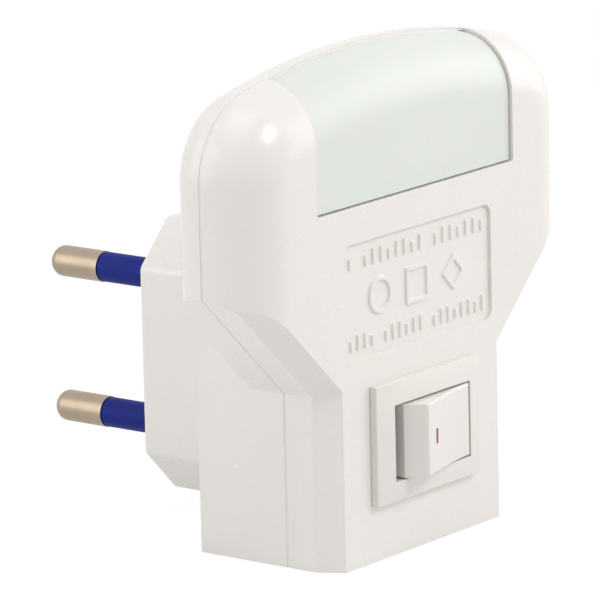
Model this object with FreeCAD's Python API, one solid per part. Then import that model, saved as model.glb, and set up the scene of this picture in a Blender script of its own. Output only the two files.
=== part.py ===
import FreeCAD, Part
import math
import os

from FreeCAD import Vector

# A plug-in night light with two round pins, a rocker switch and a frosted window.
# All sizes are in millimetres. The origin is the middle of the plug face, between the pins.
# X runs to the right as seen from the front, Y from the front towards the wall, and Z up.

# Casing, seen from the front. Heights are measured from the foot of the stem.
head_width = 66.0
crown_height = 62.7
crown_radius = 110.0
corner_radius = 10.4
stem_width = 35.4
shoulder_start = 21.8
shoulder_end = 36.3
foot_drop = 19.75

# Casing, from front to back. Depths are measured from the front face.
front_to_plug_face = 38.7
parting_depth = 7.4
head_depth = 12.8
stem_depth = 21.0
block_height = 27.4
block_round = 5.0
front_round = 7.6
back_round = 4.5
bevel_width = 1.8
bevel_depth = 3.3
wall = 2.0
parting_gap = 0.25
parting_step = 0.45
lip_height = 1.5
lip_wall = 1.1
lip_clearance = 0.12
lip_notch_clearance = 0.4

# Window and lens
window_width = 40.0
window_height = 44.7
window_corner = 0.4
lens_recess = 0.5
lens_wall = 1.5
lens_gap = 0.18
flange_reach = 2.3
flange_wall = 1.2
flange_gap = 0.08

# Marking panel: a shallow recess with plain raised marks
panel_width = 30.0
panel_height = 14.6
panel_base = 25.7
panel_depth = 0.45
panel_corner = 1.3
mark_height = 0.3
mark_margin = 1.3
small_mark = 1.9
large_mark = 4.6
stroke = 0.5
stroke_pitch = 1.15

# Plug nose and pins
nose_width = 13.7
nose_height = 35.2
nose_tip = 2.4
nose_edge_round = 1.4
nose_face_round = 0.7
pin_spacing = 19.0
pin_diameter = 4.0
pin_length = 19.0
pin_tip_round = 1.5
sleeve_diameter = 3.65
sleeve_length = 11.0
core_diameter = 3.0
pin_flange_diameter = 5.7
pin_flange_height = 1.2
tail_diameter = 2.0
tail_length = 3.0
carrier_height = 10.0
fit_clearance = 0.1
shaft_clearance = 0.05

# Screws and their bosses
screw_head_diameter = 5.2
screw_head_height = 1.7
screw_diameter = 2.5
screw_length = 8.0
boss_radius = 2.5
tube_wall = 1.3
seat_thickness = 2.2
upper_boss_height = 43.75
upper_boss_inset = 6.5
lower_boss_height = 5.75
lower_boss_inset = 4.9
lower_seat_depth = 8.0
driver_slot = 0.9

# Rocker switch. Depths run back from the casing's front face.
switch_height = 14.6
frame_width = 21.0
frame_height = 15.0
frame_edge = 1.0
frame_rise = 1.75
frame_rim = 0.5
opening_width = 15.4
opening_height = 9.6
switch_box_width = 18.8
switch_box_height = 12.6
switch_box_depth = 11.9
switch_floor = 1.0
cavity_flare = 0.8
cavity_flare_depth = 1.2
snap_reach = 0.9
snap_width = 5.0
snap_length = 3.8
cutout_clearance = 0.2
rocker_tilt = 12.0
rocker_pivot_depth = 4.55
rocker_rise = 3.2
rocker_top_length = 11.86
rocker_foot_length = 14.44
rocker_foot_depth = -0.37
rocker_skirt_depth = 1.3
rocker_hollow = 0.3
rocker_side_gap = 0.2
rocker_edge_round = 0.35
hub_width = 5.2
hub_depth = 7.0
trunnion_diameter = 2.4
trunnion_length = 1.2
plunger_diameter = 2.3
plunger_bore_end = 1.6
plunger_start = 4.4
plunger_reach = 1.35
spring_wire = 0.3
spring_turns = 4
bridge_length = 10.8
bridge_width = 3.6
bridge_thickness = 0.5
bridge_gap = 0.1
bridge_tilt = 5.0
rocking_edge_radius = 0.2
contact_offset = 4.6
contact_diameter = 1.6
contact_height = 0.4
blade_width = 4.8
blade_thickness = 0.8
blade_end_depth = 15.0
blade_foot = 0.5
on_blade_offset = 5.2

# Circuit board and what it carries
board_gap = 1.9
board_thickness = 1.4
board_width = 43.0
board_base = 22.35
board_top = 55.5
board_edge_gap = 1.7
post_radius = 2.0
post_pin_radius = 0.95
post_margin = 1.0
post_height = 33.1
led_diameter = 4.8
led_rim = 0.4
led_rim_height = 0.9
led_height = 5.0
led_spacing = 12.0
led_row_height = 51.0
film_size = (13.0, 4.8, 10.0)
film_round = 0.7
film_place = (-7.5, 35.5)
can_diameter = 5.0
can_length = 11.0
can_place = (7.5, 32.0)
can_groove = 0.25
can_stub = 1.2
axial_lead = 0.6
axial_overhang = 1.6
resistor_diameter = 2.3
resistor_length = 6.2
diode_diameter = 2.6
diode_length = 4.6
surge_place = (8.5, 37.2)
bleed_place = (8.5, 41.0)
diode_centre = (-7.5, 44.0)
diode_pitch = (9.4, 3.4)
wire_diameter = 1.4
wire_side = 12.6
wire_entry_height = 24.05
wire_turn_share = 0.45

# Places worked out from the sizes above
foot_z = -foot_drop
front_y = -front_to_plug_face
parting_y = front_y + parting_depth
head_back_y = front_y + head_depth
stem_back_y = front_y + stem_depth
head_half = head_width / 2
stem_half = stem_width / 2
crown_centre_z = foot_z + crown_height - crown_radius
corner_x = head_half - corner_radius
corner_z = crown_centre_z + math.sqrt((crown_radius - corner_radius) ** 2 - corner_x ** 2)
shoulder_angle = math.atan2(shoulder_end - shoulder_start, head_half - stem_half)
window_z = foot_z + window_height
switch_z = foot_z + switch_height
pin_z = pin_spacing / 2
board_back_y = head_back_y - wall - board_gap
board_front_y = board_back_y - board_thickness
upper_seat_y = head_back_y - screw_head_height - fit_clearance
lower_seat_y = stem_back_y - lower_seat_depth
upper_boss_x = head_half - upper_boss_inset
lower_boss_x = stem_half - lower_boss_inset
screw_places = [(side * upper_boss_x, foot_z + upper_boss_height, upper_seat_y) for side in (-1, 1)]
screw_places += [(side * lower_boss_x, foot_z + lower_boss_height, lower_seat_y) for side in (-1, 1)]
carrier_front_y = -wall - carrier_height
tail_end_y = carrier_front_y - tail_length
bridge_back_depth = hub_depth + plunger_reach + bridge_gap + bridge_thickness
bridge_pivot_depth = bridge_back_depth + shaft_clearance + rocking_edge_radius
Y_AXIS = Vector(0, 1, 0)
Z_AXIS = Vector(0, 0, 1)
small = 0.01
far = 200.0


def box(x0, x1, y0, y1, z0, z1):
    """A box between two corners."""
    return Part.makeBox(x1 - x0, y1 - y0, z1 - z0, Vector(x0, y0, z0))


def rod(radius, x, z, y0, y1):
    """A cylinder that runs from front to back."""
    return Part.makeCylinder(radius, y1 - y0, Vector(x, y0, z), Y_AXIS)


def polygon(points, y):
    """A closed wire through (x, z) points, in the plane at depth y."""
    corners = [Vector(x, y, z) for x, z in points]
    return Part.makePolygon(corners + corners[:1])


def prism(points, y0, y1):
    """A prism over (x, z) points, from y0 back to y1."""
    return Part.Face(polygon(points, y0)).extrude(Vector(0, y1 - y0, 0))


def rounded(solid, radius, wanted):
    """Rounds the edges that the test picks."""
    edges = [edge for edge in solid.Edges if wanted(edge)]
    return solid.makeFillet(radius, edges) if edges else solid


def on_plane(edge, y):
    """True if the whole edge lies in the plane at depth y."""
    bounds = edge.BoundBox
    return abs(bounds.YMin - y) < small and abs(bounds.YMax - y) < small


def along_y(edge):
    """True if the edge is straight and runs from front to back."""
    start = edge.valueAt(edge.FirstParameter)
    end = edge.valueAt(edge.LastParameter)
    return math.hypot(start.x - end.x, start.z - end.z) < small and abs(start.y - end.y) > small


def bend(first, corner, last):
    """The arc that turns a corner, from a point before it to one as far after it."""
    run_in = (first - corner).normalize()
    run_out = (last - corner).normalize()
    half_turn = (math.pi - run_in.getAngle(run_out)) / 2
    radius = (first - corner).Length / math.tan(half_turn)
    crest = corner + (run_in + run_out).normalize() * (radius / math.cos(half_turn) - radius)
    return Part.Arc(first, crest, last).toShape()


def two_arcs(start, heading, end, end_heading):
    """Two arcs that leave one point and reach another in the given directions."""
    chord = end - start
    along = chord.dot(heading + end_heading)
    spread = 2 * (1 - heading.dot(end_heading))
    reach = (math.sqrt(along**2 + spread * chord.dot(chord)) - along) / spread
    first_corner = start + heading * reach
    last_corner = end - end_heading * reach
    middle = (first_corner + last_corner) * 0.5
    return [bend(start, first_corner, middle), bend(middle, last_corner, end)]


# The head: its outline is a crown arc between two corner arcs, over straight sides
def head_outline(inset, y):
    """The head's outline as a wire, inset by a wall, with straight sides down to the foot."""
    side = head_half - inset
    corner = corner_radius - inset
    crown = crown_radius - inset
    foot = foot_z + inset
    lean = math.atan2(corner_z - crown_centre_z, corner_x)
    end_x = corner_x + corner * math.cos(lean)
    end_z = corner_z + corner * math.sin(lean)
    mid_x = corner_x + corner * math.cos(lean / 2)
    mid_z = corner_z + corner * math.sin(lean / 2)
    top = Vector(0, y, crown_centre_z + crown)
    edges = [Part.LineSegment(Vector(-side, y, foot), Vector(side, y, foot))]
    edges.append(Part.LineSegment(Vector(side, y, foot), Vector(side, y, corner_z)))
    edges.append(Part.Arc(Vector(side, y, corner_z), Vector(mid_x, y, mid_z), Vector(end_x, y, end_z)))
    edges.append(Part.Arc(Vector(end_x, y, end_z), top, Vector(-end_x, y, end_z)))
    edges.append(Part.Arc(Vector(-end_x, y, end_z), Vector(-mid_x, y, mid_z), Vector(-side, y, corner_z)))
    edges.append(Part.LineSegment(Vector(-side, y, corner_z), Vector(-side, y, foot)))
    return Part.Wire([edge.toShape() for edge in edges])


def pillow(inset):
    """The head as a pillow: the outline in depth, with its front and back edges rounded."""
    start = front_y + inset
    end = head_back_y - inset
    foot = foot_z + inset
    solid = Part.Face(head_outline(inset, start)).extrude(Vector(0, end - start, 0))

    def on_foot(edge):
        return abs(edge.CenterOfMass.z - foot) < small

    front = max(front_round - inset, small)
    back = max(back_round - inset, small)
    solid = rounded(solid, front, lambda edge: on_plane(edge, start) and not on_foot(edge))
    return rounded(solid, back, lambda edge: on_plane(edge, end) and not on_foot(edge))


def funnel_points(inset, bevel):
    """The stem and the shoulders that spread from it, as (x, z) points, past the head's sides."""
    half = stem_half - inset - bevel
    rise = (inset + bevel) * (1 - math.sin(shoulder_angle)) / math.cos(shoulder_angle)
    start = foot_z + shoulder_start + rise
    spread = head_width
    end = start + spread * math.tan(shoulder_angle)
    foot = foot_z + inset
    right = [(half, foot), (half, start), (half + spread, end), (half + spread, end + far)]
    return right + [(-x, z) for x, z in reversed(right)]


def funnel(inset):
    """The stem and shoulders in depth, with a flat bevel along their front edges."""
    start = front_y + inset
    diagonal = math.hypot(1 / bevel_width, 1 / bevel_depth)
    share = 1 + inset * (diagonal - 1 / bevel_width - 1 / bevel_depth)
    share = max(share, small)
    bevel_end = start + bevel_depth * share
    outer = funnel_points(inset, 0)
    inner = funnel_points(inset, bevel_width * share)
    bevel = Part.makeLoft([polygon(inner, start), polygon(outer, bevel_end)], True, True)
    return bevel.fuse(prism(outer, bevel_end, head_back_y - inset)).removeSplitter()


def casing(inset):
    """The casing without its rear block: the pillow cut by the shoulders."""
    return funnel(inset).common(pillow(inset))


def rear_block(inset):
    """The deep block behind the stem, round along its top edge."""
    half = stem_half - inset
    top = foot_z + block_height - inset
    end = stem_back_y - inset
    block = box(-half, half, parting_y - inset, end, foot_z + inset, top)

    def top_back(edge):
        centre = edge.CenterOfMass
        return abs(centre.y - end) < small and abs(centre.z - top) < small

    return rounded(block, max(block_round - inset, small), top_back)


def nose(inset, y0, y1):
    """The plug nose: straight sides that close at 45 degrees to narrow ends, its long edges rounded."""
    half = nose_width / 2 - inset
    reach = nose_tip / 2 + nose_height / 2 - inset * math.sqrt(2)
    tall = min(nose_height / 2 - inset, reach - 2 * small)
    tip = reach - tall
    right = [(tip, -tall), (half, half - reach), (half, reach - half), (tip, tall)]
    solid = prism(right + [(-x, z) for x, z in reversed(right)], y0, y1)
    return rounded(solid, min(max(nose_edge_round - inset / 2, small), tip), along_y)


# The two halves of the casing
def marks():
    """Plain raised marks: two rows of strokes, and a ring, a frame and a diamond between them."""
    floor_y = front_y + panel_depth
    left = -panel_width / 2 + mark_margin
    right = panel_width / 2 - mark_margin
    top_row = foot_z + panel_base + panel_height - mark_margin - small_mark
    low_row = foot_z + panel_base + mark_margin
    pieces = []
    for z, words in ((top_row, (1, 8, 7)), (low_row, (4, 6, 8))):
        count = sum(words) + len(words) - 1
        pitch = (right - left - stroke) / (count - 1)
        place = 0
        for word in words:
            for index in range(word):
                x = left + place * pitch
                height = small_mark * (1 if index % 3 else 0.7)
                pieces.append(box(x, x + stroke, floor_y - mark_height, floor_y + small, z, z + height))
                place += 1
            place += 1
    middle_z = foot_z + panel_base + panel_height / 2
    size = large_mark / 2
    ring = rod(size, -panel_width / 4, middle_z, floor_y - mark_height, floor_y + small)
    ring = ring.cut(rod(size - stroke, -panel_width / 4, middle_z, floor_y - 1, floor_y + 1))
    pieces.append(ring)
    for x, turned in ((0, False), (panel_width / 4, True)):
        pieces.append(square_mark(x, middle_z, size, turned, floor_y))
    return pieces


def square_mark(x, z, size, turned, floor_y):
    """A square frame, on its side or on a corner."""
    def corners(reach):
        square = [(-reach, -reach), (reach, -reach), (reach, reach), (-reach, reach)]
        diamond = [(0, -reach), (reach, 0), (0, reach), (-reach, 0)]
        return [(x + dx, z + dz) for dx, dz in (diamond if turned else square)]

    inner = size - stroke * (math.sqrt(2) if turned else 1)
    outer = prism(corners(size), floor_y - mark_height, floor_y + small)
    return outer.cut(prism(corners(inner), floor_y - 1, floor_y + 1))


def panel_recess():
    """The shallow recess that holds the marks."""
    half = panel_width / 2
    base = foot_z + panel_base
    recess = box(-half, half, front_y - 1, front_y + panel_depth, base, base + panel_height)
    return rounded(recess, panel_corner, along_y)


def window_cut():
    """The opening for the lens, up over the crown to the parting line."""
    half = window_width / 2
    cut = box(-half, half, front_y - 1, parting_y + 1, window_z, far)

    def low_corner(edge):
        return along_y(edge) and abs(edge.CenterOfMass.z - window_z) < small

    return rounded(cut, window_corner, low_corner)


def front_half(solid):
    """The part of a solid in front of the parting line."""
    return solid.common(box(-far, far, -far, parting_y, -far, far))


def back_half(solid):
    """The part of a solid behind the parting line."""
    return solid.common(box(-far, far, parting_y, far, -far, far))


def front_bosses():
    """Bosses that the screws bite in, from the front wall back to the rear cover's seats."""
    return [rod(boss_radius, x, z, front_y + wall / 2, seat_y - seat_thickness - fit_clearance)
            for x, z, seat_y in screw_places]


def front_shell():
    """The front half: a hollow shell with the window, the panel and the switch hole."""
    outer = casing(0)
    inner = casing(wall)
    shell = front_half(outer.cut(inner))
    for boss in front_bosses():
        shell = shell.fuse(boss)
    for x, z, seat_y in screw_places:
        bottom = seat_y - screw_length - fit_clearance
        shell = shell.cut(rod(screw_diameter / 2 + shaft_clearance, x, z, bottom, 0))
    shell = shell.cut(window_cut())
    shell = shell.cut(panel_recess())
    for mark in marks():
        shell = shell.fuse(mark)
    half = switch_box_width / 2 + cutout_clearance
    tall = switch_box_height / 2 + cutout_clearance
    hole = box(-half, half, front_y - 1, front_y + wall + 1, switch_z - tall, switch_z + tall)
    return shell.cut(hole).removeSplitter()


def parting_lip():
    """The rear cover's lip, which locates it inside the front shell, and its root on the wall."""
    inner = casing(wall + lip_clearance + lip_wall)
    end = parting_y + wall
    lip = casing(wall + lip_clearance).common(box(-far, far, parting_y - lip_height, end, -far, far))
    root = casing(wall / 2).common(box(-far, far, parting_y + parting_gap, end, -far, far))
    ring = lip.fuse(root).cut(inner)
    notch = window_width / 2 + flange_reach + lip_notch_clearance
    ring = ring.cut(box(-notch, notch, -far, parting_y, window_z, far))
    for x, z, _ in screw_places:
        ring = ring.cut(rod(boss_radius + lip_notch_clearance, x, z, parting_y - lip_height - 1, far))
    return ring


def seat_tubes():
    """The rear cover's screw seats: short tubes that reach in from its back wall."""
    tubes = []
    tube_radius = screw_head_diameter / 2 + fit_clearance + tube_wall
    for x, z, seat_y in screw_places:
        back_y = head_back_y if seat_y == upper_seat_y else stem_back_y
        tubes.append(rod(tube_radius, x, z, seat_y - seat_thickness, back_y - wall / 2))
    return tubes


def screw_holes():
    """Counterbores for the screw heads and clear holes for their shanks."""
    holes = []
    for x, z, seat_y in screw_places:
        holes.append(rod(screw_head_diameter / 2 + fit_clearance, x, z, seat_y, 1))
        clear = screw_diameter / 2 + fit_clearance
        holes.append(rod(clear, x, z, seat_y - seat_thickness - 1, seat_y + small))
    return holes


def board_posts():
    """Four posts that carry the board off the back wall, each with a locating pin."""
    posts = []
    for x, z in post_places():
        posts.append(rod(post_radius, x, z, board_back_y, head_back_y - wall / 2))
        posts.append(rod(post_pin_radius, x, z, board_front_y - board_thickness / 2, board_back_y))
    return posts


def post_places():
    """Where the board's four posts stand."""
    inset = post_radius + post_margin
    heights = (foot_z + post_height, foot_z + board_top - inset)
    return [(side * (board_width / 2 - inset), z) for side in (-1, 1) for z in heights]


def rear_cover():
    """The back half: rim, back wall, the block behind the stem and the hollow plug nose."""
    groove_y = parting_y + parting_gap
    outer = back_half(casing(0)).common(box(-far, far, groove_y, far, -far, far))
    outer = outer.fuse(rear_block(0).common(box(-far, far, groove_y, far, -far, far)))
    outer = outer.fuse(back_half(casing(parting_step)))
    outer = outer.fuse(back_half(rear_block(parting_step)))
    nose_start = head_back_y - wall
    solid_nose = nose(0, nose_start, 0)
    solid_nose = rounded(solid_nose, nose_face_round, lambda edge: on_plane(edge, 0))
    outer = outer.fuse(solid_nose)
    cover = outer.cut(casing(wall)).cut(rear_block(wall))
    for tube in seat_tubes():
        cover = cover.fuse(tube)
    cover = cover.fuse(parting_lip())
    for post in board_posts():
        cover = cover.fuse(post)
    cover = cover.cut(nose(wall, nose_start - wall, -wall))
    for hole in screw_holes():
        cover = cover.cut(hole)
    for z in (-pin_z, pin_z):
        cover = cover.cut(rod(sleeve_diameter / 2 + shaft_clearance, 0, z, -wall - 1, 1))
    return cover.removeSplitter()


def diffuser_lens():
    """The lens: a skin set just below the casing's surface, with a flange behind the window's edge."""
    half = window_width / 2 - lens_gap
    skin = casing(lens_recess).cut(casing(lens_recess + lens_wall))
    skin = skin.common(box(-half, half, -far, parting_y, window_z + lens_gap, far))
    reach = window_width / 2 + flange_reach
    flange = casing(wall + flange_gap).cut(casing(wall + flange_gap + flange_wall))
    end = parting_y - lip_height / 2
    flange = flange.common(box(-reach, reach, -far, end, window_z - flange_reach, far))
    joined = casing(lens_recess).cut(casing(wall + flange_gap + flange_wall))
    inner_half = half - lens_wall
    tie = joined.common(box(-half, half, -far, parting_y, window_z + lens_gap, far))
    tie = tie.cut(box(-inner_half, inner_half, -far, far, window_z + lens_gap + lens_wall, far))
    clear = box(-inner_half, inner_half, -far, far, window_z + lens_gap + lens_wall, far)
    return skin.fuse(flange.cut(clear)).fuse(tie).removeSplitter()


# The plug
def pin(z):
    """One pin: a bare end, a core under the sleeve, a flange inside the nose and a solder tail."""
    bare = rod(pin_diameter / 2, 0, z, sleeve_length, pin_length)
    bare = rounded(bare, pin_tip_round, lambda edge: on_plane(edge, pin_length))
    core = rod(core_diameter / 2, 0, z, carrier_front_y, sleeve_length)
    flange = rod(pin_flange_diameter / 2, 0, z, -wall - pin_flange_height, -wall)
    tail = rod(tail_diameter / 2, 0, z, tail_end_y, carrier_front_y)
    return bare.fuse([core, flange, tail]).removeSplitter()


def pin_sleeve(z):
    """One pin's insulating sleeve, from inside the plug face to the bare end."""
    sleeve = rod(sleeve_diameter / 2, 0, z, -wall, sleeve_length)
    return sleeve.cut(rod(core_diameter / 2 + shaft_clearance, 0, z, -wall - 1, sleeve_length + 1))


def pin_carrier():
    """The block that traps the pins' flanges against the plug face."""
    carrier = nose(wall + fit_clearance, carrier_front_y, -wall)
    for z in (-pin_z, pin_z):
        carrier = carrier.cut(rod(core_diameter / 2 + shaft_clearance, 0, z, carrier_front_y - 1, 1))
        recess = pin_flange_height + fit_clearance
        carrier = carrier.cut(rod(pin_flange_diameter / 2 + fit_clearance, 0, z, -wall - recess, 1))
    return carrier


def housing_screws():
    """Four self-tapping screws with slotted pan heads."""
    screws = []
    slot = driver_slot / 2
    for x, z, seat_y in screw_places:
        top_y = seat_y + screw_head_height
        slot_y = seat_y + screw_head_height / 2
        head = rod(screw_head_diameter / 2, x, z, seat_y, top_y)
        head = rounded(head, screw_head_height / 2, lambda edge: on_plane(edge, top_y))
        head = head.cut(box(x - far, x + far, slot_y, far, z - slot, z + slot))
        shank = rod(screw_diameter / 2, x, z, seat_y - screw_length, seat_y)
        screws.append(head.fuse(shank).removeSplitter())
    return Part.makeCompound(screws)


# The switch
def switch_box(half_x, half_z, depth0, depth1):
    """A box about the switch's middle, between two depths behind the front face."""
    return box(-half_x, half_x, front_y + depth0, front_y + depth1, switch_z - half_z, switch_z + half_z)


def switch_taper(size0, depth0, size1, depth1):
    """A tapered block about the switch's middle, from one (half width, half height) to another."""
    wires = []
    for (half_x, half_z), depth in ((size0, depth0), (size1, depth1)):
        corners = [(-half_x, -half_z), (half_x, -half_z), (half_x, half_z), (-half_x, half_z)]
        wires.append(polygon([(x, switch_z + z) for x, z in corners], front_y + depth))
    return Part.makeLoft(wires, True, True)


def snap(side):
    """A wedge on the side of the switch's box that catches behind the front wall."""
    start = wall + fit_clearance
    half_x = switch_box_width / 2
    points = [(half_x - 1, start), (half_x + snap_reach, start), (half_x, start + snap_length)]
    points.append((half_x - 1, start + snap_length))
    corners = [Vector(side * x, front_y + depth, switch_z - snap_width / 2) for x, depth in points]
    return Part.Face(Part.makePolygon(corners + corners[:1])).extrude(Vector(0, 0, snap_width))


def switch_frame():
    """The bevelled frame and the box behind it, with bearings for the rocker."""
    half_x = frame_width / 2
    half_z = frame_height / 2
    open_x = opening_width / 2
    open_z = opening_height / 2
    frame = switch_box(half_x, half_z, -frame_edge, 0)
    rim = (open_x + frame_rim, open_z + frame_rim)
    frame = frame.fuse(switch_taper(rim, -frame_rise, (half_x, half_z), -frame_edge))
    frame = frame.fuse(switch_box(switch_box_width / 2, switch_box_height / 2, 0, switch_box_depth))
    for side in (-1, 1):
        frame = frame.fuse(snap(side))
    wide = open_x + cavity_flare
    flare = switch_taper((open_x, open_z), -frame_rise, (wide, open_z), cavity_flare_depth)
    frame = frame.cut(switch_box(open_x, open_z, -frame_rise - 1, -frame_rise))
    frame = frame.cut(flare)
    floor = switch_box_depth - switch_floor
    frame = frame.cut(switch_box(wide, open_z, cavity_flare_depth, floor))
    reach = open_z - rocker_side_gap + trunnion_length + fit_clearance
    bearing = trunnion_diameter / 2 + shaft_clearance
    place = Vector(0, front_y + rocker_pivot_depth, switch_z - reach)
    frame = frame.cut(Part.makeCylinder(bearing, 2 * reach, place, Z_AXIS))
    for x in (0, on_blade_offset):
        frame = frame.cut(blade(x, floor - 1, switch_box_depth + 1, shaft_clearance))
    return frame.removeSplitter()


def tilted(solid, depth, angle):
    """A solid turned about an upright axis through the switch's middle, at a depth."""
    turned = solid.copy()
    turned.rotate(Vector(0, front_y + depth, 0), Z_AXIS, angle)
    return turned


def rocker_profile():
    """The rocker's outline from above, level: a hollow top, raked ends and a hub."""
    top = rocker_top_length / 2
    foot = rocker_foot_length / 2
    skirt = foot - cavity_flare / 2
    hub = hub_width / 2
    depths = [(top, -rocker_rise), (foot, rocker_foot_depth), (skirt, rocker_skirt_depth)]
    depths += [(hub, rocker_skirt_depth + 1), (hub, hub_depth)]
    right = [Vector(x, front_y + depth, 0) for x, depth in depths]
    left = [Vector(-point.x, point.y, 0) for point in reversed(right)]
    dip = Vector(0, front_y - rocker_rise + rocker_hollow, 0)
    corners = right + left
    edges = [Part.LineSegment(a, b).toShape() for a, b in zip(corners, corners[1:])]
    edges.append(Part.Arc(left[-1], dip, right[0]).toShape())
    return Part.Face(Part.Wire(edges))


def switch_rocker():
    """The rocker, at rest with its right end pressed in."""
    half = opening_height / 2 - rocker_side_gap
    rocker = rocker_profile().extrude(Vector(0, 0, 2 * half))
    rocker.translate(Vector(0, 0, switch_z - half))
    crest_y = front_y - rocker_rise + rocker_hollow + small

    def crest(edge):
        ends = [edge.valueAt(edge.FirstParameter), edge.valueAt(edge.LastParameter)]
        return all(point.y < crest_y for point in ends)

    rocker = rounded(rocker, rocker_edge_round, crest)
    reach = half + trunnion_length
    place = Vector(0, front_y + rocker_pivot_depth, switch_z - reach)
    rocker = rocker.fuse(Part.makeCylinder(trunnion_diameter / 2, 2 * reach, place, Z_AXIS))
    bore = plunger_diameter / 2 + fit_clearance
    rocker = rocker.cut(rod(bore, 0, switch_z, front_y + plunger_bore_end, front_y + hub_depth + 1))
    return tilted(rocker, rocker_pivot_depth, rocker_tilt)


def rocker_plunger():
    """The round-nosed plunger in the rocker's hub."""
    radius = plunger_diameter / 2
    tip = front_y + hub_depth + plunger_reach
    body = rod(radius, 0, switch_z, front_y + plunger_start, tip - radius)
    nose_ball = Part.makeSphere(radius, Vector(0, tip - radius, switch_z))
    return tilted(body.fuse(nose_ball).removeSplitter(), rocker_pivot_depth, rocker_tilt)


def plunger_spring():
    """The coil spring behind the plunger."""
    radius = plunger_diameter / 2 - spring_wire / 2
    start = plunger_bore_end + spring_wire / 2
    length = plunger_start - spring_wire / 2 - start
    steps = 4 * spring_turns
    angle = 2 * math.pi / 4
    rise = length / steps

    def on_helix(step):
        turn = step * angle
        x = radius * math.cos(turn)
        z = radius * math.sin(turn)
        point = Vector(x, front_y + start + step * rise, switch_z + z)
        return point, Vector(-z * angle, rise, x * angle).normalize()

    edges = []
    for step in range(steps):
        edges += two_arcs(*on_helix(step), *on_helix(step + 1))
    first, heading = on_helix(0)
    section = Part.Wire(Part.makeCircle(spring_wire / 2, first, heading))
    spring = Part.Wire(edges).makePipeShell([section], True, False)
    return tilted(spring, rocker_pivot_depth, rocker_tilt)


def contact_bridge():
    """The see-saw contact, tipped away from the fixed contact."""
    end = bridge_back_depth
    strip = switch_box(bridge_length / 2, bridge_width / 2, end - bridge_thickness, end)
    tip_y = front_y + end + contact_height
    rivet = rod(contact_diameter / 2, contact_offset, switch_z, front_y + end - small, tip_y)
    return tilted(strip.fuse(rivet).removeSplitter(), bridge_pivot_depth, -bridge_tilt)


def blade(x, depth0, depth1, clearance):
    """A flat terminal blade that runs back from the switch."""
    section = switch_box(blade_thickness / 2 + clearance, blade_width / 2 + clearance, depth0, depth1)
    section.translate(Vector(x, 0, 0))
    return section


def terminal_common():
    """The middle terminal, with a narrow round edge that the bridge rocks on."""
    half_z = bridge_width / 2
    shoulder = bridge_pivot_depth + blade_thickness
    terminal = blade(0, shoulder, blade_end_depth, 0)
    place = Vector(0, front_y + bridge_pivot_depth, switch_z - half_z)
    edge = Part.makeCylinder(rocking_edge_radius, 2 * half_z, place, Z_AXIS)
    narrow = (rocking_edge_radius, half_z)
    neck = switch_taper(narrow, bridge_pivot_depth, (blade_thickness / 2, half_z), shoulder)
    return terminal.fuse([edge, neck]).removeSplitter()


def terminal_on():
    """The outer terminal: a foot with the fixed contact, and a blade."""
    floor = switch_box_depth - switch_floor
    tilt = math.radians(bridge_tilt)
    drop = (contact_offset + contact_diameter / 2) * math.sin(tilt)
    face = bridge_back_depth + contact_height - bridge_pivot_depth
    touch = bridge_pivot_depth + drop + face * math.cos(tilt) + shaft_clearance
    terminal = blade(on_blade_offset, floor - blade_foot, blade_end_depth, 0)
    half_x = (on_blade_offset + blade_thickness / 2 - contact_offset) + contact_diameter / 2
    foot = switch_box(half_x, blade_width / 2, floor - blade_foot, floor)
    foot.translate(Vector(on_blade_offset + blade_thickness / 2 - half_x, 0, 0))
    end_y = front_y + floor - blade_foot / 2
    rivet = rod(contact_diameter / 2, contact_offset, switch_z, front_y + touch, end_y)
    return terminal.fuse([foot, rivet]).removeSplitter()


# The circuit board and its components
def circuit_board():
    """The board: its lower corners follow the shoulders, and four holes fit the posts."""
    half = board_width / 2
    board = box(-half, half, board_front_y, board_back_y, foot_z + board_base, foot_z + board_top)
    board = board.common(prism(funnel_points(wall + board_edge_gap, 0), board_front_y, board_back_y))
    for x, z in post_places():
        board = board.cut(rod(post_pin_radius + fit_clearance, x, z, board_front_y - 1, board_back_y + 1))
    return board


def leds():
    """Three round LEDs in a row behind the window."""
    lamps = []
    z = foot_z + led_row_height
    radius = led_diameter / 2
    for place in (-1, 0, 1):
        x = place * led_spacing
        rim = rod(radius + led_rim, x, z, board_front_y - led_rim_height, board_front_y)
        body = rod(radius, x, z, board_front_y - led_height + radius, board_front_y)
        dome = Part.makeSphere(radius, Vector(x, board_front_y - led_height + radius, z))
        lamps.append(rim.fuse([body, dome]).removeSplitter())
    return Part.makeCompound(lamps)


def dropper_capacitor():
    """The boxed film capacitor, lying on the board."""
    width, depth, height = film_size
    body = box(-width / 2, width / 2, board_front_y - depth, board_front_y, -height / 2, height / 2)
    body.translate(Vector(film_place[0], 0, foot_z + film_place[1]))
    return rounded(body, film_round, lambda edge: not on_plane(edge, board_front_y))


def smoothing_capacitor():
    """The small electrolytic can, lying on its side, with its crimp and rubber end."""
    x = can_place[0] - can_length / 2
    z = foot_z + can_place[1]
    radius = can_diameter / 2
    y = board_front_y - radius
    x_axis = Vector(1, 0, 0)
    can = Part.makeCylinder(radius, can_length, Vector(x, y, z), x_axis)
    crimp = Part.makeTorus(radius, can_groove, Vector(x + can_length - can_stub, y, z), x_axis)
    return can.cut(crimp)


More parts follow.
